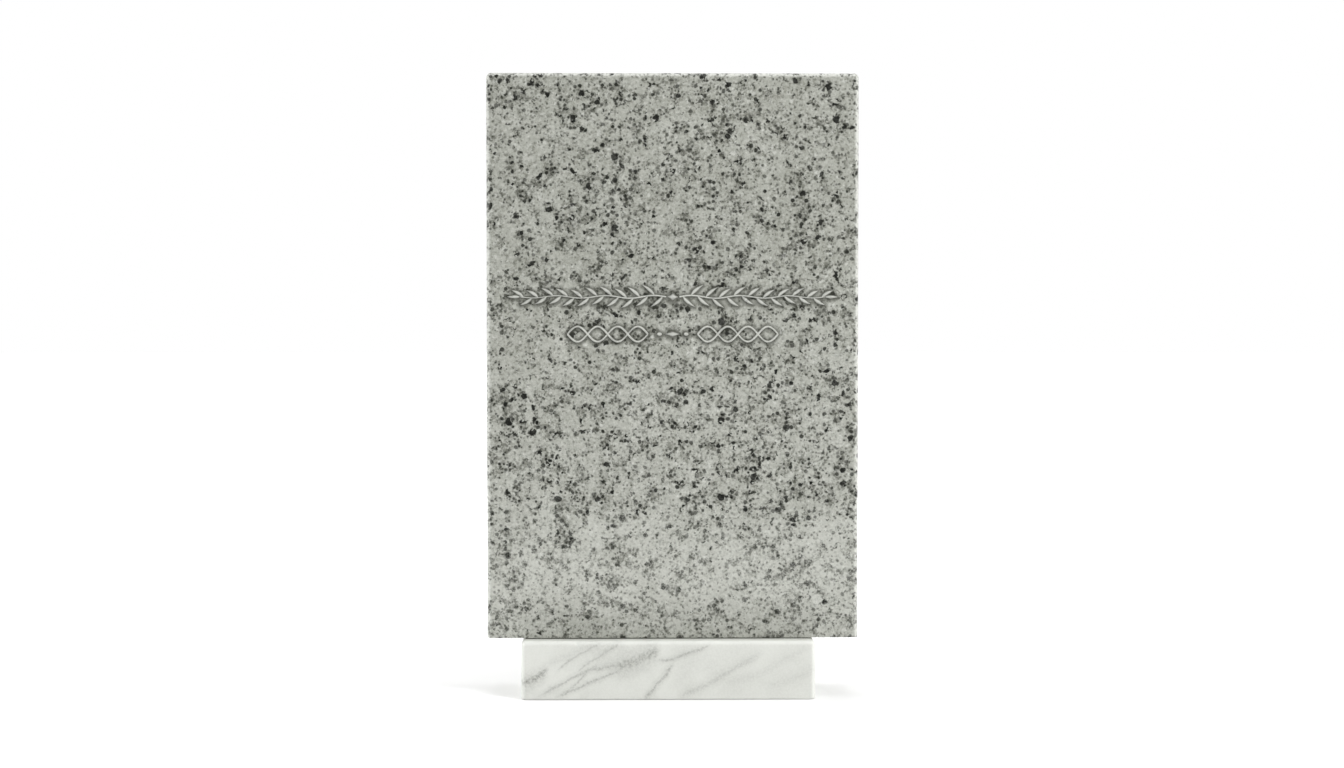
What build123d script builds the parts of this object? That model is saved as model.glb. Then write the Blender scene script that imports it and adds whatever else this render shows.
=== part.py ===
"""Upright grave plaque: a granite slab set on a narrower marble plinth.

Millimetres. X runs along the width, Y from front to back (the inscribed face looks along -Y) and Z up.
The origin is on the ground, below the middle of the slab.

The slab overhangs the plinth at both ends, and the plinth stands out in front of the slab and behind it.
Two ribbed dowels stand in blind bores of both stones. One bed of setting mortar fills the joint and the
bores round the dowels, so it keys the four other pieces together.
"""

import os
from math import radians, tan

from build123d import *

# Slab
slab_width = 500.0
slab_height = 760.0
slab_thickness = 120.0
slab_arris_radius = 6.0  # above and at the corners
slab_foot_arris_radius = 1.5

# Plinth
plinth_width = 395.0
plinth_height = 79.0
plinth_projection = 20.0  # in front of the slab, and the same behind it
plinth_shift = -6.0  # the plinth sits a little to the left of the slab's middle
plinth_arris_radius = 4.0
plinth_foot_chamfer = 1.5

# Bed of setting mortar between the two stones
bed_thickness = 1.2
bed_setback = 1.0  # from the inner edges of the rounded arrises

# Dowels and the bores that they stand in
dowel_diameter = 16.0
dowel_spacing = 200.0
dowel_in_slab = 100.0
dowel_in_plinth = 48.0
dowel_end_chamfer = 1.5
rib_pitch = 8.0
rib_groove_width = 2.0
rib_groove_depth = 0.6
bore_clearance = 2.0  # round the dowel and past its ends, filled by the mortar
drill_point_angle = 118.0

# Worked out from the sizes above
plinth_depth = slab_thickness + 2 * plinth_projection
slab_bottom = plinth_height + bed_thickness
bore_radius = dowel_diameter / 2 + bore_clearance
drill_point_height = bore_radius / tan(radians(drill_point_angle / 2))
dowel_places = {
    "left": plinth_shift - dowel_spacing / 2,
    "right": plinth_shift + dowel_spacing / 2,
}


def bore(x, mouth_z, depth, upward):
    """The space of one blind bore: a cylinder from the stone's face, ended by the drill's point."""
    length = depth + bore_clearance
    outline = Polyline(
        (0, 0),
        (bore_radius, 0),
        (bore_radius, length),
        (0, length + drill_point_height),
        close=True,
    )
    drilled = revolve(Plane.XZ * make_face(outline), Axis.Z)
    if not upward:
        drilled = mirror(drilled, Plane.XY)
    return Pos(x, 0, mouth_z) * drilled


def slab_bores():
    return [bore(x, slab_bottom, dowel_in_slab, upward=True) for x in dowel_places.values()]


def plinth_bores():
    return [bore(x, plinth_height, dowel_in_plinth, upward=False) for x in dowel_places.values()]


def round_arrises(block, radius):
    """Rounds the upright and the upper edges of a block, and leaves those round its foot."""
    foot = block.edges().group_by(Axis.Z)[0]
    return fillet(block.edges() - foot, radius)


def make_slab():
    """The granite slab: rounded arrises, finer ones round its foot, and two bores in its underside."""
    block = Box(
        slab_width,
        slab_thickness,
        slab_height,
        align=(Align.CENTER, Align.CENTER, Align.MIN),
    )
    block = round_arrises(block, slab_arris_radius)
    foot = block.edges().group_by(Axis.Z)[0]
    block = fillet(foot, slab_foot_arris_radius)
    return Pos(0, 0, slab_bottom) * block - slab_bores()


def make_plinth():
    """The marble plinth: rounded arrises above and at the corners, a small chamfer round its foot."""
    block = Box(
        plinth_width,
        plinth_depth,
        plinth_height,
        align=(Align.CENTER, Align.CENTER, Align.MIN),
    )
    block = round_arrises(block, plinth_arris_radius)
    foot = block.edges().group_by(Axis.Z)[0]
    block = chamfer(foot, plinth_foot_chamfer)
    return Pos(plinth_shift, 0, 0) * block - plinth_bores()


def make_dowel(x):
    """A round steel dowel with chamfered ends, and grooves turned into it where the mortar grips."""
    length = dowel_in_plinth + bed_thickness + dowel_in_slab
    lower_end = plinth_height - dowel_in_plinth
    bar = Cylinder(
        dowel_diameter / 2,
        length,
        align=(Align.CENTER, Align.CENTER, Align.MIN),
    )
    bar = chamfer(bar.edges().filter_by(GeomType.CIRCLE), dowel_end_chamfer)
    groove = Cylinder(dowel_diameter / 2, rib_groove_width)
    groove -= Cylinder(dowel_diameter / 2 - rib_groove_depth, rib_groove_width)
    groove_count = int((length - rib_pitch) // rib_pitch)
    first_groove = (length - (groove_count - 1) * rib_pitch) / 2
    grooves = [Pos(0, 0, first_groove + i * rib_pitch) * groove for i in range(groove_count)]
    return Pos(x, 0, lower_end) * (bar - grooves)


def make_setting_bed(dowels):
    """The mortar: a thin plate in the joint, with a plug round each dowel in both stones."""
    plate_width = plinth_width - 2 * (plinth_arris_radius + bed_setback)
    plate_depth = slab_thickness - 2 * (slab_foot_arris_radius + bed_setback)
    plate = Box(
        plate_width,
        plate_depth,
        bed_thickness,
        align=(Align.CENTER, Align.CENTER, Align.MIN),
    )
    plate = Pos(plinth_shift, 0, plinth_height) * plate
    return plate + slab_bores() + plinth_bores() - dowels


def make_parts():
    dowels = {side: make_dowel(x) for side, x in dowel_places.items()}
    parts = {
        "slab": make_slab(),
        "plinth": make_plinth(),
        "setting_bed": make_setting_bed(list(dowels.values())),
    }
    for side, dowel in dowels.items():
        parts[f"dowel_{side}"] = dowel
    return parts


def main():
    os.makedirs("parts", exist_ok=True)
    for name, part in make_parts().items():
        export_step(part, f"parts/{name}.step")


main()
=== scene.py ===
"""Looks of the upright grave plaque: a speckled granite slab on a white marble plinth.

Metres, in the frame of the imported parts: X along the width, the ornamented face towards -Y, Z up.
"""

import math

import bmesh
import bpy
import numpy as np
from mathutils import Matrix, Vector, noise

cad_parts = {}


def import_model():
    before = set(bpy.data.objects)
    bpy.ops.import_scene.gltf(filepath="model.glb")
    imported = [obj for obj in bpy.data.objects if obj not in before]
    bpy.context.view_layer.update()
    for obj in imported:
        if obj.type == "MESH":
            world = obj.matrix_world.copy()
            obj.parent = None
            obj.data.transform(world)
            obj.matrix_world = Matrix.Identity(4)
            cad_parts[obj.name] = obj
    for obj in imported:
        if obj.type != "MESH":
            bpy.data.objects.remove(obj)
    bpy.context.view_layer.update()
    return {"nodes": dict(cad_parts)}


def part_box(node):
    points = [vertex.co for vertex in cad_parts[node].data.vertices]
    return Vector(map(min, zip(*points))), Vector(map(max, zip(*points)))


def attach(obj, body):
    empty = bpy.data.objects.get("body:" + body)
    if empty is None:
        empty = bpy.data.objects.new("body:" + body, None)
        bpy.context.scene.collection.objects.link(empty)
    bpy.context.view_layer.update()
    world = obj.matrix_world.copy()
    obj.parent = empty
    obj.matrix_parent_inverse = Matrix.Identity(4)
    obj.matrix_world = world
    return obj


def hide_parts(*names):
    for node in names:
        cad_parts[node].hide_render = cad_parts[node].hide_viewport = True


MM = 0.001

# Arrises of both stones, and the faces that they are cut into
SLAB_ARRIS_RADIUS = 6 * MM  # above and at the corners
PLINTH_ARRIS_RADIUS = 6.5 * MM  # above and at the corners
FOOT_ARRIS_RADIUS = 1.5 * MM
ARRIS_SEGMENT = 1.2 * MM  # length of the faces round an arris
ARRIS_STEP = 1.6 * MM  # length of the faces along an arris
FACE_MARGIN = 3 * MM  # flat ring inside the rounding

# Wear of the arrises
ARRIS_WEAR = 0.35 * MM  # how far the general wear cuts in
FINE_WEAR_SIZE = 2.2 * MM
SLOW_WEAR_SIZE = 14 * MM
NICK_DEPTH = 0.9 * MM
NICK_SIZE = 7 * MM
FLAT_TILT = 0.01  # up to this tilt away from a flat face, nothing is cut back by wear
FULL_WEAR_TILT = 0.35  # from this tilt on, the wear is full
FULL_TONE_TILT = 0.6  # from this tilt on, the paler tone of the arris, partly wear and partly a painted highlight, is full

# Ornament bands, measured on the slab's face
UPPER_BAND_BELOW_TOP = 300 * MM
UPPER_BAND_WIDTH = 440 * MM
UPPER_BAND_HEIGHT = 31 * MM
LOWER_BAND_BELOW_TOP = 350 * MM
LOWER_BAND_WIDTH = 283 * MM
LOWER_BAND_HEIGHT = 24 * MM
RELIEF_HEIGHT = 1.2 * MM  # of the strokes above the face
RELIEF_ROOT = 2.4 * MM  # how deep the strokes reach below the face
RELIEF_FOOT = 0.4 * RELIEF_ROOT  # where their visible sides start
GROUND_DEPTH = 1.2 * MM  # of the ground that is cut back round the strokes
GROUND_REACH = 4.5 * MM
PAINTED_SHADOW_REACH = 5 * MM  # how far the painted shadow round the strokes reaches
PAINTED_SHADOW_SHIFT = np.array((-0.9, -1.1)) * MM  # it is shifted below and to the left of them, where the key light from the upper right would cast shadow
PATCH_STEP = 1.1 * MM  # grid of the cut ground
PATCH_MARGIN = 9 * MM

# Laurel sprays of the upper band
SPRAY_START = 9 * MM  # from the middle
LEAF_PAIRS = 10
LEAF_LENGTH = 22 * MM
LEAF_WIDTH = 6.2 * MM
LEAF_TIP_WIDTH = 0.35 * MM
LEAF_ANGLE = math.radians(42)
LEAF_BEND = 0.5
STEM_WIDTH = 3.2 * MM
STEM_WAVE = 2.0 * MM
STEM_BENDS = 6
MIDDLE_LOZENGE = 7.5 * MM

# Twists of the lower band
TWIST_PERIOD = 27 * MM
TWIST_COUNT = 4
STRAND_WIDTH = 3.7 * MM
STRAND_OVERLAP = 0.35 * MM  # how far one strand rises over the other
LONG_LOZENGE = (11 * MM, 5.5 * MM)
BEAD_RADIUS = 3.4 * MM
BEAD_PLACE = 18 * MM

# Camera, as in the photograph
CAMERA_DISTANCE = 3.0
CAMERA_AZIMUTH = math.radians(-0.91)
CAMERA_ELEVATION = math.radians(1.70)
CAMERA_TARGET = Vector((-0.001, -0.06, 0.4231))
CAMERA_LENS = 59.74

# Studio light: each lamp's place, the size of its softbox and its power
WORLD_STRENGTH = 0.37
LAMP_TARGET = Vector((0.0, 0.0, 0.42))
LAMPS = {
    "key": ((2.6, -2.9, 3.2), 1.2, 110),
    "left": ((-2.4, 0.2, 0.7), 1.6, 34),
    "right": ((2.4, 0.2, 0.7), 1.6, 17),
    "top": ((0.0, 0.0, 2.9), 1.6, 26),
    "back": ((-1.3, 3.0, 1.9), 1.6, 36),
}
FLOOR_RADIUS = 30.0
FLOOR_GAP = 0.5 * MM  # between the plinth's foot and the floor
SHADOW_NEAR, SHADOW_FAR = 0.2, 1.5  # between these distances the floor's glow grows, and hides the shadow
GLOW_NEAR, GLOW_FAR = 0.13, 0.80


def smoothstep(low, high, value):
    """0 below low, 1 above high, and a smooth step between them; works on arrays too."""
    t = np.clip((value - low) / (high - low), 0.0, 1.0)
    return t * t * (3 - 2 * t)


# Node trees


class Surface:
    """A material under construction. A method adds one or a few nodes and returns the last one's output."""

    def __init__(self, name):
        self.material = bpy.data.materials.new(name)
        self.material.use_nodes = True
        self.tree = self.material.node_tree
        self.shader = self.tree.nodes["Principled BSDF"]
        self.place = self.add("ShaderNodeTexCoord").outputs["Object"]

    def add(self, kind, **settings):
        node = self.tree.nodes.new(kind)
        for key, value in settings.items():
            setattr(node, key, value)
        return node

    def put(self, socket, value):
        """Links the value if it is another node's output, or else writes it on the socket."""
        if isinstance(value, bpy.types.NodeSocket):
            self.tree.links.new(value, socket)
        elif isinstance(value, (tuple, list)) and socket.type == "RGBA":
            socket.default_value = (*value, 1.0)
        else:
            socket.default_value = value

    def math(self, operation, first, second=0.0, third=0.0):
        node = self.add("ShaderNodeMath", operation=operation)
        for socket, value in zip(node.inputs, (first, second, third)):
            self.put(socket, value)
        return node.outputs[0]

    def vector(self, operation, first, second=(0, 0, 0), scale=1.0):
        node = self.add("ShaderNodeVectorMath", operation=operation)
        self.put(node.inputs[0], first)
        self.put(node.inputs[1], second)
        if operation == "SCALE":
            self.put(node.inputs["Scale"], scale)
        return node.outputs["Value" if operation == "LENGTH" else "Vector"]

    def split(self, place):
        """The x, y and z of a place."""
        node = self.add("ShaderNodeSeparateXYZ")
        self.put(node.inputs[0], place)
        return tuple(node.outputs)

    def step(self, value, low, high, to_low=0.0, to_high=1.0, smooth=True):
        """Maps low..high to to_low..to_high and holds the ends."""
        node = self.add("ShaderNodeMapRange")
        node.interpolation_type = "SMOOTHSTEP" if smooth else "LINEAR"
        self.put(node.inputs["Value"], value)
        self.put(node.inputs["From Min"], low)
        self.put(node.inputs["From Max"], high)
        self.put(node.inputs["To Min"], to_low)
        self.put(node.inputs["To Max"], to_high)
        return node.outputs["Result"]

    def swing(self, value, reach):
        """A value of 0 to 1 as a swing of reach in all, about zero."""
        return self.math("MULTIPLY_ADD", value, reach, -reach / 2)

    def noise(self, size, detail=2.0, roughness=0.5, place=None, colour=False, distortion=0.0):
        """Smooth noise whose features are about that many metres across."""
        node = self.add("ShaderNodeTexNoise")
        self.put(node.inputs["Vector"], place or self.place)
        self.put(node.inputs["Scale"], 1 / size)
        self.put(node.inputs["Detail"], detail)
        self.put(node.inputs["Roughness"], roughness)
        self.put(node.inputs["Distortion"], distortion)
        return node.outputs["Color" if colour else "Fac"]

    def cells(self, size, place):
        """Cells about that many metres across: the distance from a cell's seed, and three random numbers."""
        node = self.add("ShaderNodeTexVoronoi", feature="F1")
        self.put(node.inputs["Vector"], place)
        self.put(node.inputs["Scale"], 1 / size)
        parts = self.add("ShaderNodeSeparateColor")
        self.put(parts.inputs[0], node.outputs["Color"])
        return node.outputs["Distance"], *parts.outputs

    def mix(self, factor, first, second):
        """A colour between two colours."""
        node = self.add("ShaderNodeMix", data_type="RGBA")
        for socket, value in zip((node.inputs[0], node.inputs[6], node.inputs[7]), (factor, first, second)):
            self.put(socket, value)
        return node.outputs[2]

    def warp(self, size, reach, place=None):
        """The place, pushed about by up to half of reach."""
        push = self.vector("SUBTRACT", self.noise(size, colour=True, place=place), (0.5, 0.5, 0.5))
        return self.vector("ADD", place or self.place, self.vector("SCALE", push, scale=reach))

    def layer(self, name):
        """A value that the mesh keeps at its vertices."""
        return self.add("ShaderNodeAttribute", attribute_name=name).outputs["Fac"]

    def bump(self, height, distance, strength):
        node = self.add("ShaderNodeBump")
        self.put(node.inputs["Height"], height)
        self.put(node.inputs["Distance"], distance)
        self.put(node.inputs["Strength"], strength)
        self.put(self.shader.inputs["Normal"], node.outputs["Normal"])

    def set(self, **values):
        """Sets inputs of the main shader; an underscore stands for a space in a name."""
        for key, value in values.items():
            self.put(self.shader.inputs[key.replace("_", " ")], value)
        return self.material


def grey(level, warmth=0.0):
    """A grey written as its value on screen, 0 to 255, as a linear colour; warmth takes blue away."""
    def linear(value):
        value = value / 255
        return value / 12.92 if value <= 0.04045 else ((value + 0.055) / 1.055) ** 2.4
    return (linear(level), linear(level + 1.4), linear(level - warmth))


# Granite

# Dark crystals: one at most in each cell. few and many are the shares of cells that hold one, where the dark
# minerals are rare and where they gather
CRYSTALS = {
    "big": dict(
        cell=11 * MM,
        smallest=1.7 * MM,
        largest=5.4 * MM,
        softness=1.3 * MM,
        faintest=0.85,
        few=0.07,
        many=0.84,
    ),
    "middle": dict(
        cell=6.2 * MM,
        smallest=1.4 * MM,
        largest=3.3 * MM,
        softness=1.5 * MM,
        faintest=0.55,
        few=0.13,
        many=0.80,
    ),
    "small": dict(
        cell=4.0 * MM,
        smallest=1.0 * MM,
        largest=2.1 * MM,
        softness=1.7 * MM,
        faintest=0.34,
        few=0.22,
        many=0.80,
    ),
}
SMALLNESS = 1.5  # above 1, most crystals are near the smallest size

# Paler belt near the foot, with fainter dark minerals and a lighter ground that is painted light from the
# floor; its limits wander up and down. Heights above the ground
BELT_WANDER = 0.16
BELT_TOP = (0.15, 0.29)
BELT_FOOT = (0.07, 0.17)
BELT_FOOT_SHARE = 0.25  # what is left of it at the very foot
BELT_FADE = 0.78  # how strong the dark minerals are in it

# Painted shade low on the slab, above the joint and over the plinth only
JOINT_SHADE_STRENGTH = 0.15
JOINT_SHADE_TOP = (0.08, 0.16)
JOINT_SHADE_INSIDE = 12 * MM  # it fades out from inside the plinth's end
JOINT_SHADE_OUTSIDE = 8 * MM  # to outside it


def crystals(s, place, gather, cell, smallest, largest, softness, faintest, few, many):
    """Soft round dark spots, each of its own size and tone."""
    distance, random_radius, random_presence, random_tone = s.cells(cell, place)
    random_radius = s.math("POWER", random_radius, SMALLNESS)
    radius = s.step(random_radius, 0.0, 1.0, smallest / cell, largest / cell, smooth=False)
    shape = s.step(s.math("SUBTRACT", radius, distance), -softness / 2 / cell, softness / 2 / cell)
    share = s.step(gather, 0.0, 1.0, few, many)
    present = s.step(s.math("SUBTRACT", share, random_presence), 0.0, 0.02)
    tone = s.step(random_tone, 0.0, 1.0, faintest, 1.0, smooth=False)
    return s.math("MULTIPLY", s.math("MULTIPLY", shape, present), tone)


def pale_belt(s, region, z):
    """How far the stone is in the pale belt, 0 to 1."""
    level = s.math("MULTIPLY_ADD", region, BELT_WANDER, s.math("ADD", z, -BELT_WANDER / 2))
    top = s.step(level, *BELT_TOP, 1.0, 0.0)
    foot = s.step(level, *BELT_FOOT, BELT_FOOT_SHARE, 1.0)
    return s.math("MULTIPLY", top, foot)


def painted_joint_shade(s, x, z):
    """How strong the painted shade above the joint is."""
    low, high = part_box("plinth")
    from_middle = s.math("ABSOLUTE", s.math("SUBTRACT", x, (low[0] + high[0]) / 2))
    half = (high[0] - low[0]) / 2
    across = s.step(from_middle, half - JOINT_SHADE_INSIDE, half + JOINT_SHADE_OUTSIDE, JOINT_SHADE_STRENGTH, 0.0)
    return s.math("MULTIPLY", across, s.step(z, *JOINT_SHADE_TOP, 1.0, 0.0))


def dark_minerals(s, region, pale):
    """The masks of the dark minerals, from faint smudges to the big crystals."""
    loose = s.warp(7 * MM, 4.5 * MM)
    loose = s.warp(3 * MM, 2.0 * MM, place=loose)
    firm = s.warp(4 * MM, 1.6 * MM)
    cluster = s.noise(13 * MM, detail=2.0, roughness=0.6, distortion=0.3)
    gather = s.step(s.math("ADD", cluster, s.swing(region, 0.24)), 0.38, 0.68)

    fleck = s.noise(3.9 * MM, detail=2.0, roughness=0.60)
    smudge = s.step(s.math("MULTIPLY_ADD", gather, 0.18, fleck), 0.48, 0.82)
    clot = s.noise(6 * MM, detail=2.0, roughness=0.6, place=firm)
    clot = s.step(s.math("MULTIPLY_ADD", gather, 0.20, clot), 0.68, 0.82)

    # The larger crystals are pitted, most of all in the pale belt
    pitting = s.noise(2.0 * MM, detail=2.0, roughness=0.6)
    pitting = s.step(pitting, 0.36, 0.60, s.step(pale, 0.0, 1.0, 0.92, 0.40), 1.0)
    big = s.math("MULTIPLY", crystals(s, loose, gather, **CRYSTALS["big"]), pitting)
    middle = s.math("MULTIPLY", crystals(s, firm, gather, **CRYSTALS["middle"]), pitting)
    small = crystals(s, firm, gather, **CRYSTALS["small"])
    return smudge, clot, small, middle, big


def pale_ground(s, fine, pale, z):
    """Feldspar grains, their fine mottling, slow changes of tone, and the lighter ground of the pale belt,
    which is painted light.
    """
    _, grain, _, flash = s.cells(3.4 * MM, s.warp(3 * MM, 1.5 * MM))
    slow = s.noise(40 * MM, detail=2.0)
    mottle = s.noise(4.2 * MM, detail=3.0, roughness=0.7)
    tone = s.math("MULTIPLY_ADD", fine, 1.2, s.math("MULTIPLY_ADD", grain, 0.26, -0.23))
    tone = s.math("ADD", tone, s.swing(slow, 0.6))
    tone = s.math("ADD", tone, s.math("MULTIPLY_ADD", mottle, 1.1, -0.50))
    tone = s.math("ADD", tone, s.step(z, 0.38, 0.56, 0.06, -0.07))
    ground = s.mix(s.step(tone, 0.0, 1.0, smooth=False), grey(148, 9), grey(203, 6))
    ground = s.mix(s.step(flash, 0.90, 1.0, 0.0, 0.45), ground, grey(222, 4))
    # Lighter ground in the pale belt: painted light from the white floor
    return s.mix(s.math("MULTIPLY", pale, 0.55), ground, grey(214, 6))


def granite(name, face_y=None):
    """Light grey granite: a fine pale ground, smudges of small dark flecks, and dark crystals in clusters.

    face_y is given for the carved strokes, which get a painted highlight on top and painted shade at their
    roots.
    """
    s = Surface(name)
    x, y, z = s.split(s.place)
    region = s.noise(50 * MM, detail=1.0)
    fine = s.noise(2.2 * MM, detail=3.0, roughness=0.7)
    pale = pale_belt(s, region, z)
    colour = pale_ground(s, fine, pale, z)
    if face_y is None:
        # Paler arrises: partly wear, partly a painted highlight where the rounding catches the light
        colour = s.mix(s.math("MULTIPLY", s.layer("wear_and_highlight"), 0.60), colour, grey(232, 4))

    smudge, clot, small, middle, big = dark_minerals(s, region, pale)
    for mask, strength, tone in (
        (smudge, 0.62, grey(84, 9)),
        (clot, 0.70, grey(52, 8)),
        (small, 0.84, grey(50, 8)),
        (middle, 1.0, grey(28, 5)),
        (big, 1.0, grey(10, 3)),
    ):
        faded = s.step(pale, 0.0, 1.0, strength, BELT_FADE * strength)
        colour = s.mix(s.math("MULTIPLY", mask, faded), colour, tone)
    # Painted shade: darker low on the slab above the joint
    colour = s.mix(painted_joint_shade(s, x, z), colour, grey(96, 8))

    if face_y is None:
        # Painted shadow round the carved strokes, heaviest below and to their left
        colour = s.mix(s.math("MULTIPLY", s.layer("painted_shadow"), 0.62), colour, grey(70, 7))
    else:
        # Painted light: a painted highlight on the strokes' crests and painted shade at their roots
        crest = s.step(y, face_y + 0.3 * MM, face_y - 0.8 * RELIEF_HEIGHT)
        colour = s.mix(0.70, colour, s.mix(crest, grey(78, 7), grey(218, 5)))
    s.bump(fine, 0.12 * MM, 0.5)
    dark = s.math("MAXIMUM", s.math("MAXIMUM", big, middle), small)
    roughness = s.step(dark, 0.0, 1.0, 0.55, 0.42)
    return s.set(Base_Color=colour, Roughness=roughness, Specular_IOR_Level=0.12)


# Marble

# Veins of the plinth, in millimetres: points (x, z) of each vein's line on the front face, from left to
# right, its half width there, its strength, and how far it drifts along X for each millimetre of depth. A
# grainy vein is a smudge of dark grains
VEINS = (
    dict(points=((-216, 21), (-190, 27), (-163, 43)), width=6.0, strength=0.80, drift=0.3, grainy=True),
    dict(
        points=((-190, 1), (-157, 17), (-116, 38), (-75, 46), (-24, 64)),
        width=2.8,
        strength=0.44,
        drift=-0.4,
    ),
    dict(points=((-162, 0), (-130, 15), (-104, 26), (-60, 42)), width=2.6, strength=0.46, drift=-0.3),
    dict(points=((-158, 2), (-138, 15), (-108, 42), (-92, 48)), width=2.3, strength=0.40, drift=0.2),
    dict(points=((-132, 34), (-112, 50), (-82, 70), (-66, 80)), width=2.2, strength=0.34, drift=0.5),
    dict(points=((-82, 42), (-50, 53), (-14, 68)), width=9.0, strength=0.70, drift=0.3, grainy=True),
    dict(points=((-160, 30), (-150, 44), (-128, 60), (-92, 78)), width=2.2, strength=0.36, drift=0.4),
    dict(points=((-26, 55), (-8, 53), (18, 61), (54, 76)), width=2.6, strength=0.46, drift=-0.2),
    dict(points=((-42, -3), (-24, 17), (-2, 44), (4, 52)), width=3.0, strength=0.48, drift=0.4),
    dict(points=((0, 0), (40, 17), (86, 44), (128, 66)), width=5.0, strength=0.30, drift=-0.4),
    dict(points=((60, 24), (110, 32), (150, 54), (196, 78)), width=9.0, strength=0.14, drift=0.2),
    dict(points=((120, 14), (160, 28), (200, 42)), width=7.0, strength=0.13, drift=-0.2),
    dict(points=((-176, 46), (-130, 64), (-90, 84)), width=7.0, strength=0.16, drift=0.3),
)
VEIN_SPAN = 100 * MM  # height that a vein's curve can take in
VEIN_LOW = -10 * MM  # its lower end
HALO_WIDTH = 3  # of the haze along a vein, as a multiple of the vein's own width
BODY_SHARE, HALO_SHARE = 0.55, 0.45


def vein(s, place, points, width, strength, drift):
    """One thin grey sheet through the stone, which fades out at both ends."""
    first, last = Vector(points[0]) * MM, Vector(points[-1]) * MM
    run = last - first
    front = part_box("plinth")[0][1]
    x, y, z = s.split(place)
    shifted = s.math("MULTIPLY_ADD", y, drift, s.math("ADD", x, -drift * front))
    along = s.step(shifted, first.x, last.x, smooth=False)
    curve = s.add("ShaderNodeFloatCurve")
    line = curve.mapping.curves[0].points
    for _ in points[2:]:
        line.new(0.5, 0.5)
    for knot, point in zip(line, points):
        knot.location = ((point[0] * MM - first.x) / run.x, (point[1] * MM - VEIN_LOW) / VEIN_SPAN)
    curve.mapping.update()
    s.put(curve.inputs["Value"], along)
    level = s.math("MULTIPLY_ADD", curve.outputs[0], VEIN_SPAN, VEIN_LOW)
    offset = s.math("MULTIPLY", s.math("ABSOLUTE", s.math("SUBTRACT", z, level)), run.x / run.length)
    body = s.step(offset, 0.0, width * MM, BODY_SHARE, 0.0)
    halo = s.step(offset, 0.0, HALO_WIDTH * width * MM, HALO_SHARE, 0.0)
    ends = s.math("MULTIPLY", s.step(along, 0.0, 0.18), s.step(along, 0.80, 1.0, 1.0, 0.0))
    return s.math("MULTIPLY", s.math("MULTIPLY", s.math("ADD", body, halo), ends), strength)


def marble():
    """White marble with a faint cloudiness, thin slanting veins and paler arrises, partly from wear and
    partly a painted highlight.
    """
    s = Surface("marble")
    bent = s.warp(26 * MM, 7 * MM)
    bent = s.warp(5 * MM, 3 * MM, place=bent)
    thinned = s.step(s.noise(3.2 * MM, detail=3.0, roughness=0.75), 0.3, 0.7, 0.30, 1.25)
    speckled = s.step(s.noise(4.2 * MM, detail=3.0, roughness=0.7), 0.34, 0.70, 0.28, 1.0)
    lines = None
    for values in VEINS:
        shape = {key: value for key, value in values.items() if key != "grainy"}
        grains = speckled if values.get("grainy") else thinned
        line = s.math("MULTIPLY", vein(s, bent, **shape), grains)
        lines = line if lines is None else s.math("MAXIMUM", lines, line)
    cloud = s.step(s.noise(60 * MM, detail=3.0, place=s.warp(90 * MM, 70 * MM)), 0.35, 0.75)
    cloud = s.math("MULTIPLY", cloud, s.step(s.split(s.place)[0], -0.15, 0.12, 1.0, 0.35))
    fine = s.noise(2.6 * MM, detail=3.0, roughness=0.7)
    colour = s.mix(cloud, grey(227, 5), grey(204, 5))
    colour = s.mix(s.step(fine, 0.3, 0.7, 0.0, 0.42), colour, grey(236, 4))
    colour = s.mix(lines, colour, grey(112, 6))
    # Paler arrises: partly wear, partly a painted highlight
    colour = s.mix(s.math("MULTIPLY", s.layer("wear_and_highlight"), 0.34), colour, grey(248, 3))
    s.bump(fine, 0.05 * MM, 0.4)
    return s.set(Base_Color=colour, Roughness=0.38, Specular_IOR_Level=0.4)


# Mortar and steel


def mortar():
    """Grey setting mortar, grainy and matt."""
    s = Surface("setting_mortar")
    grains = s.noise(1.5 * MM, detail=4.0, roughness=0.7)
    s.bump(grains, 0.4 * MM, 0.8)
    return s.set(Base_Color=s.mix(s.step(grains, 0.3, 0.7), grey(96, 6), grey(134, 8)), Roughness=0.95)


def stainless():
    """Turned stainless steel for the dowels, which are hidden in the stones."""
    s = Surface("stainless_steel")
    turning = s.vector("MULTIPLY", s.place, (1, 1, 14))
    streak = s.noise(3 * MM, detail=3.0, place=turning)
    s.bump(streak, 0.05 * MM, 0.4)
    return s.set(Base_Color=s.mix(streak, grey(168, 3), grey(196, 3)), Roughness=0.35, Metallic=1.0)


# Ornament


def ridge(mesh, centre, half_width, height, roundness, across=9):
    """Adds a closed ridge along a line of (x, z) points.

    half_width and height give the size at each point, and roundness shapes the section:
    1 is a roof and 2 a round moulding. x and z lie on the slab's face, and out of it is -Y.
    """
    run = np.gradient(centre, axis=0)
    run /= np.linalg.norm(run, axis=1)[:, None]
    side = np.stack([-run[:, 1], run[:, 0]], axis=1)
    section = np.linspace(-1, 1, across)
    rings = []
    for point, normal, wide, high in zip(centre, side, half_width, height):
        ring = []
        for t in section:
            x, z = point + normal * t * wide
            out = -RELIEF_FOOT + (high + RELIEF_FOOT) * (1 - abs(t) ** roundness)
            ring.append(mesh.verts.new((x, -out, z)))
        for t in (1, -1):
            x, z = point + normal * t * wide
            ring.append(mesh.verts.new((x, RELIEF_ROOT, z)))
        rings.append(ring)
    count = len(rings[0])
    for first, second in zip(rings, rings[1:]):
        for i in range(count):
            j = (i + 1) % count
            mesh.faces.new((first[i], first[j], second[j], second[i]))
    mesh.faces.new(list(reversed(rings[0])))
    mesh.faces.new(rings[-1])


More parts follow.
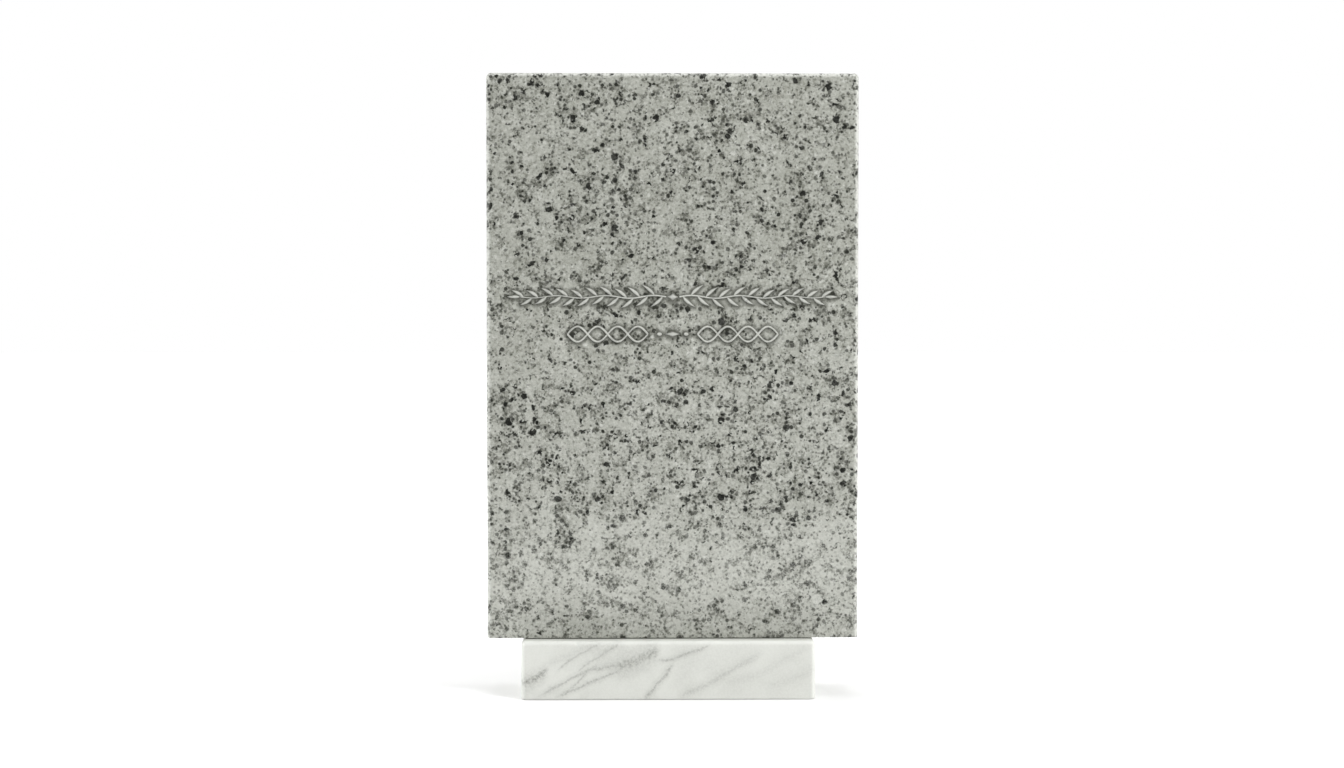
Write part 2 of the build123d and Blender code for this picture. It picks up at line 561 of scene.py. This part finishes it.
class Ornament:
    """Collects ridges, and the discs that they cover, for the ground that is cut back round them and the
    painted shadow there.
    """

    def __init__(self):
        self.mesh = bmesh.new()
        self.discs = []

    def stroke(self, centre, half_width, height=RELIEF_HEIGHT, roundness=1.6):
        """Adds a ridge; half_width and height are one number, or one for each point."""
        half_width = np.broadcast_to(half_width, len(centre)).astype(float)
        height = np.broadcast_to(height, len(centre)).astype(float)
        ridge(self.mesh, centre, half_width, height, roundness)
        for point, wide in zip(centre, half_width):
            self.discs.append((*point, wide))

    def leaf(self, base, direction, length, width, bend):
        """A pointed leaf: a roof-shaped ridge that widens from its stalk and bends towards its tip."""
        t = np.linspace(0.0, 1.0, 13)
        turn = direction + bend * (t - 0.5)
        steps = np.stack([np.cos(turn), np.sin(turn)], axis=1) * length / (len(t) - 1)
        centre = np.asarray(base) + np.cumsum(steps, axis=0) - steps[0]
        shape = np.sin(np.pi * t**0.8) ** 0.9
        height = RELIEF_HEIGHT * (0.5 + 0.5 * shape)
        self.stroke(centre, LEAF_TIP_WIDTH + width / 2 * shape, height, 1.4)

    def level_stroke(self, x, z, half_long, t):
        """The points of a short level stroke about (x, z)."""
        return np.stack([x + half_long * t, np.full(len(t), z)], axis=1)

    def bead(self, x, z, radius):
        """A low round boss."""
        t = np.linspace(-0.97, 0.97, 9)
        bulge = np.sqrt(1 - t**2)
        centre = self.level_stroke(x, z, radius, t)
        self.stroke(centre, radius * bulge, RELIEF_HEIGHT * (0.2 + 0.8 * bulge), 2.0)

    def lozenge(self, x, z, half_long, half_wide):
        """A four-sided point that lies level."""
        t = np.linspace(-1, 1, 9)
        taper = 1 - np.abs(t)
        centre = self.level_stroke(x, z, half_long, t)
        self.stroke(centre, 0.1 * MM + half_wide * taper, RELIEF_HEIGHT * (0.3 + taper), 1.0)


def laurel_band(ornament, middle_z):
    """Two laurel sprays that start at the middle and point outwards."""
    end = UPPER_BAND_WIDTH / 2 - 0.7 * LEAF_LENGTH
    for side in (-1, 1):
        t = np.linspace(0, 1, 90)
        x = SPRAY_START + (end - SPRAY_START) * t
        z = STEM_WAVE * np.sin(t * math.pi * STEM_BENDS) * (1 - 0.3 * t)
        stem = np.stack([side * x, middle_z + z], axis=1)
        ornament.stroke(stem, STEM_WIDTH / 2 * (1 - 0.45 * t), roundness=2.0)
        for i in range(LEAF_PAIRS):
            for up in (-1, 1):
                share = (i + 0.55 + 0.25 * up) / LEAF_PAIRS
                at = int(share * (len(t) - 1))
                angle = up * LEAF_ANGLE * (1 - 0.25 * share)
                direction = angle if side > 0 else math.pi - angle
                length = LEAF_LENGTH * (1 - 0.18 * share)
                ornament.leaf(stem[at], direction, length, LEAF_WIDTH, -LEAF_BEND * up * side)
        tip = 0.0 if side > 0 else math.pi
        ornament.leaf(stem[-1], tip, LEAF_LENGTH * 0.8, LEAF_WIDTH * 0.9, 0.0)
    ornament.lozenge(0.0, middle_z, MIDDLE_LOZENGE, MIDDLE_LOZENGE)


def twist_band(ornament, middle_z):
    """Two lengths of two-strand twist, with a lozenge and two beads between them."""
    start = LOWER_BAND_WIDTH / 2 - TWIST_PERIOD * TWIST_COUNT
    swing = (LOWER_BAND_HEIGHT - STRAND_WIDTH) / 2
    t = np.linspace(0, TWIST_COUNT, TWIST_COUNT * 28 + 1)
    for side in (-1, 1):
        for strand in (-1, 1):
            x = side * (start + t * TWIST_PERIOD)
            z = strand * swing * np.sin(math.pi * t)
            over = STRAND_OVERLAP * strand * np.cos(math.pi * t)
            centre = np.stack([x, middle_z + z], axis=1)
            ornament.stroke(centre, STRAND_WIDTH / 2, RELIEF_HEIGHT + over, 2.0)
    ornament.lozenge(0.0, middle_z, *LONG_LOZENGE)
    for side in (-1, 1):
        ornament.bead(side * BEAD_PLACE, middle_z, BEAD_RADIUS)


def distance_to_ornament(points, discs):
    """How far each (x, z) point is from the edge of the nearest stroke; negative under a stroke."""
    discs = np.asarray(discs)
    nearest = np.full(len(points), 1.0)
    batch = 200  # discs at a time, to spare memory
    for first in range(0, len(discs), batch):
        part = discs[first:first + batch]
        gap = np.linalg.norm(points[:, None, :] - part[None, :, :2], axis=2) - part[None, :, 2]
        nearest = np.minimum(nearest, gap.min(axis=1))
    return nearest


# Stones


def finish_mesh(name, mesh, material, sharp_over=40):
    """Turns a bmesh into a shaded object in the scene; edges over that many degrees stay sharp."""
    bmesh.ops.recalc_face_normals(mesh, faces=mesh.faces)
    data = bpy.data.meshes.new(name)
    mesh.to_mesh(data)
    mesh.free()
    data.materials.append(material)
    data.shade_smooth()
    data.set_sharp_from_angle(angle=math.radians(sharp_over))
    piece = bpy.data.objects.new(name, data)
    bpy.context.collection.objects.link(piece)
    return piece


def round_edges(mesh, edges, radius):
    bmesh.ops.bevel(
        mesh,
        geom=edges,
        offset=radius,
        offset_type="OFFSET",
        segments=max(3, round(radius * math.pi / 2 / ARRIS_SEGMENT)),
        profile=0.5,
        affect="EDGES",
    )


def rounded_block(mesh, low, high, radius):
    """A block with rounded arrises that are cut fine along their length; its six flats are left open."""
    size = high - low
    bmesh.ops.create_cube(mesh, size=1.0)
    for vert in mesh.verts:
        vert.co = low + Vector((vert.co[i] + 0.5) * size[i] for i in range(3))

    def foot():
        return [edge for edge in mesh.edges if all(vert.co.z < low.z + 0.1 * MM for vert in edge.verts)]

    round_edges(mesh, [edge for edge in mesh.edges if edge not in foot()], radius)
    round_edges(mesh, foot(), FOOT_ARRIS_RADIUS)
    flats = sorted(mesh.faces, key=lambda face: -face.calc_area())[:6]
    bmesh.ops.inset_individual(mesh, faces=flats, thickness=FACE_MARGIN)
    bmesh.ops.delete(mesh, geom=flats, context="FACES_ONLY")
    for axis in range(3):
        full = size[axis] - 2 * (radius + FACE_MARGIN)
        along = [
            edge for edge in mesh.edges
            if abs(edge.verts[1].co[axis] - edge.verts[0].co[axis]) > 0.9 * full
        ]
        bmesh.ops.subdivide_edges(mesh, edges=along, cuts=round(full / ARRIS_STEP) - 1)


def arris_wear(place):
    """How far the worn arris is cut back at a place: a fine ripple everywhere, and a few nicks."""
    ripple = 0.5 + 0.5 * noise.noise(place / FINE_WEAR_SIZE)
    slow = 0.5 + 0.5 * noise.noise(place / SLOW_WEAR_SIZE + Vector((7, 3, 1)))
    nick = noise.noise(place / NICK_SIZE + Vector((3, 9, 5)))
    wear = max(0.0, ARRIS_WEAR * (0.6 * ripple + 0.4 * slow))
    return wear + NICK_DEPTH * float(smoothstep(0.42, 0.72, nick))


def wear_arrises(mesh, wear_and_highlight):
    """Cuts the rounding back by its wear, with none on the flats, and marks how pale the rounding is
    painted, partly for wear and partly as a painted highlight.
    """
    mesh.normal_update()
    for vert in mesh.verts:
        tilt = sorted(abs(value) for value in vert.normal)[1]
        vert[wear_and_highlight] = float(smoothstep(0.0, FULL_TONE_TILT, tilt))
        if tilt > FLAT_TILT:
            vert.co -= vert.normal * arris_wear(vert.co) * float(smoothstep(0.0, FULL_WEAR_TILT, tilt))


def open_rings(mesh):
    """The closed rings of vertices round the holes of a mesh, each in order."""
    open_edges = {edge for edge in mesh.edges if edge.is_boundary}
    rings = []
    while open_edges:
        edge = open_edges.pop()
        first, vert = edge.verts
        ring = [first]
        while vert is not first:
            ring.append(vert)
            edge = next(other for other in vert.link_edges if other in open_edges)
            open_edges.discard(edge)
            vert = edge.other_vert(vert)
        rings.append(ring)
    return rings


def corner(ring, side_x, side_z):
    return max(ring, key=lambda vert: side_x * vert.co.x + side_z * vert.co.z)


def between(ring, first, last):
    """The stretch of a closed ring of vertices from first to last, both included."""
    start = ring.index(first)
    turned = ring[start:] + ring[:start]
    return turned[: turned.index(last) + 1]


def fill_front(mesh, ring, low_x, high_x, low_z, high_z):
    """Closes the front of the slab round a fine grid, and returns the grid's vertices."""
    y = ring[0].co.y
    xs = np.linspace(low_x, high_x, round((high_x - low_x) / PATCH_STEP) + 1)
    zs = np.linspace(low_z, high_z, round((high_z - low_z) / PATCH_STEP) + 1)
    grid = [[mesh.verts.new((x, y, z)) for x in xs] for z in zs]
    for lower, upper in zip(grid, grid[1:]):
        for i in range(len(xs) - 1):
            mesh.faces.new((lower[i], lower[i + 1], upper[i + 1], upper[i]))
    outer = [corner(ring, *side) for side in ((-1, -1), (1, -1), (1, 1), (-1, 1))]
    if len(between(ring, outer[0], outer[1])) > len(ring) / 2:
        ring = list(reversed(ring))
    sides = (
        grid[0],
        [row[-1] for row in grid],
        list(reversed(grid[-1])),
        [row[0] for row in reversed(grid)],
    )
    for i, inside in enumerate(sides):
        outside = between(ring, outer[i], outer[(i + 1) % 4])
        mesh.faces.new(outside + list(reversed(inside)))
    return [vert for row in grid for vert in row]


def make_slab(ornament, material):
    """The slab: rounded arrises cut back by wear, the ground cut back round the ornament, and a painted
    shadow round the ornament.
    """
    low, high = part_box("slab")
    mesh = bmesh.new()
    painted_shadow = mesh.verts.layers.float.new("painted_shadow")
    wear_and_highlight = mesh.verts.layers.float.new("wear_and_highlight")
    rounded_block(mesh, low, high, SLAB_ARRIS_RADIUS)
    wear_arrises(mesh, wear_and_highlight)
    patch = []
    for ring in open_rings(mesh):
        if all(vert.co.y < low.y + MM for vert in ring):
            patch = fill_front(
                mesh,
                ring,
                -UPPER_BAND_WIDTH / 2 - PATCH_MARGIN,
                UPPER_BAND_WIDTH / 2 + PATCH_MARGIN,
                high.z - LOWER_BAND_BELOW_TOP - LOWER_BAND_HEIGHT / 2 - PATCH_MARGIN,
                high.z - UPPER_BAND_BELOW_TOP + UPPER_BAND_HEIGHT / 2 + PATCH_MARGIN,
            )
        else:
            mesh.faces.new(ring)
    points = np.array([(vert.co.x, vert.co.z) for vert in patch])
    cuts = smoothstep(GROUND_REACH, 0.0, distance_to_ornament(points, ornament.discs))
    # A painted shadow round the strokes, shifted down and to the left
    painted_shadows = smoothstep(PAINTED_SHADOW_REACH, 0.0, distance_to_ornament(points - PAINTED_SHADOW_SHIFT, ornament.discs))
    for vert, cut, painted_shade in zip(patch, cuts, painted_shadows):
        vert.co.y += GROUND_DEPTH * float(cut)
        vert[painted_shadow] = float(painted_shade)
    return finish_mesh("granite_slab", mesh, material)


def make_plinth(material):
    """The plinth, with rounded arrises that are cut back by wear and painted paler."""
    low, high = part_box("plinth")
    mesh = bmesh.new()
    wear_and_highlight = mesh.verts.layers.float.new("wear_and_highlight")
    rounded_block(mesh, low, high, PLINTH_ARRIS_RADIUS)
    wear_arrises(mesh, wear_and_highlight)
    for ring in open_rings(mesh):
        mesh.faces.new(ring)
    return finish_mesh("marble_plinth", mesh, material)


# Studio


def seen_by_camera(tree):
    """1 for what the camera sees, also in a reflection or through glass, and 0 for other light."""
    rays = tree.nodes.new("ShaderNodeLightPath")
    seen = rays.outputs["Is Camera Ray"]
    for kind in ("Is Glossy Ray", "Is Transmission Ray"):
        larger = tree.nodes.new("ShaderNodeMath")
        larger.operation = "MAXIMUM"
        tree.links.new(seen, larger.inputs[0])
        tree.links.new(rays.outputs[kind], larger.inputs[1])
        seen = larger.outputs[0]
    return seen


def add_floor():
    """A plain pale floor. What the camera sees of it is white but for the object's shadow."""
    s = Surface("floor")
    s.set(Base_Color=(0.86, 0.86, 0.86), Roughness=0.9, Emission_Color=(1, 1, 1))
    glow = s.step(s.vector("LENGTH", s.place), SHADOW_NEAR, SHADOW_FAR, GLOW_NEAR, GLOW_FAR)
    s.set(Emission_Strength=s.math("MULTIPLY", seen_by_camera(s.tree), glow))
    mesh = bmesh.new()
    bmesh.ops.create_circle(mesh, cap_ends=True, radius=FLOOR_RADIUS, segments=96)
    floor = finish_mesh("floor", mesh, s.material)
    floor.location.z = -FLOOR_GAP


def add_world():
    """Even light from all round; behind the object the camera sees white."""
    world = bpy.data.worlds.new("studio")
    bpy.context.scene.world = world
    world.use_nodes = True
    tree = world.node_tree
    light = tree.nodes["Background"]
    light.inputs["Color"].default_value = (1, 1, 1, 1)
    light.inputs["Strength"].default_value = WORLD_STRENGTH
    backdrop = tree.nodes.new("ShaderNodeBackground")
    backdrop.inputs["Color"].default_value = (1, 1, 1, 1)
    choose = tree.nodes.new("ShaderNodeMixShader")
    tree.links.new(seen_by_camera(tree), choose.inputs["Fac"])
    tree.links.new(light.outputs[0], choose.inputs[1])
    tree.links.new(backdrop.outputs[0], choose.inputs[2])
    tree.links.new(choose.outputs[0], tree.nodes["World Output"].inputs["Surface"])


def add_lamp(name, place, size, power):
    """A square softbox that faces the middle of the object."""
    lamp = bpy.data.lights.new(name, "AREA")
    lamp.shape = "SQUARE"
    lamp.size = size
    lamp.energy = power
    holder = bpy.data.objects.new(name, lamp)
    holder.location = place
    holder.rotation_euler = (LAMP_TARGET - Vector(place)).to_track_quat("-Z", "Y").to_euler()
    holder.visible_camera = False
    bpy.context.collection.objects.link(holder)


def add_camera():
    back = Vector(
        (
            math.sin(CAMERA_AZIMUTH) * math.cos(CAMERA_ELEVATION),
            -math.cos(CAMERA_AZIMUTH) * math.cos(CAMERA_ELEVATION),
            math.sin(CAMERA_ELEVATION),
        )
    )
    camera = bpy.data.objects.new("camera", bpy.data.cameras.new("camera"))
    camera.data.lens = CAMERA_LENS
    camera.data.sensor_width = 36
    camera.location = CAMERA_TARGET + back * CAMERA_DISTANCE
    camera.rotation_euler = (-back).to_track_quat("-Z", "Y").to_euler()
    bpy.context.collection.objects.link(camera)
    bpy.context.scene.camera = camera


def main():
    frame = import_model()
    nodes = frame["nodes"]

    slab_low, slab_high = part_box("slab")
    ornament = Ornament()
    laurel_band(ornament, slab_high.z - UPPER_BAND_BELOW_TOP)
    twist_band(ornament, slab_high.z - LOWER_BAND_BELOW_TOP)

    slab = make_slab(ornament, granite("granite"))
    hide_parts("slab")
    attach(slab, "root")

    for vert in ornament.mesh.verts:
        vert.co.y += slab_low.y
    carved_granite = granite("granite_carved", face_y=slab_low.y)
    carving = finish_mesh("carved_ornament", ornament.mesh, carved_granite, sharp_over=55)
    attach(carving, "root")

    plinth = make_plinth(marble())
    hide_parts("plinth")
    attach(plinth, "root")

    for node, material in (
        ("setting_bed", mortar()),
        ("dowel_left", stainless()),
        ("dowel_right", stainless()),
    ):
        data = nodes[node].data
        data.materials.clear()
        data.materials.append(material)

    add_floor()
    add_world()
    for name, (place, size, power) in LAMPS.items():
        add_lamp(name, place, size, power)
    add_camera()
    bpy.context.scene.view_settings.view_transform = "Standard"


main()
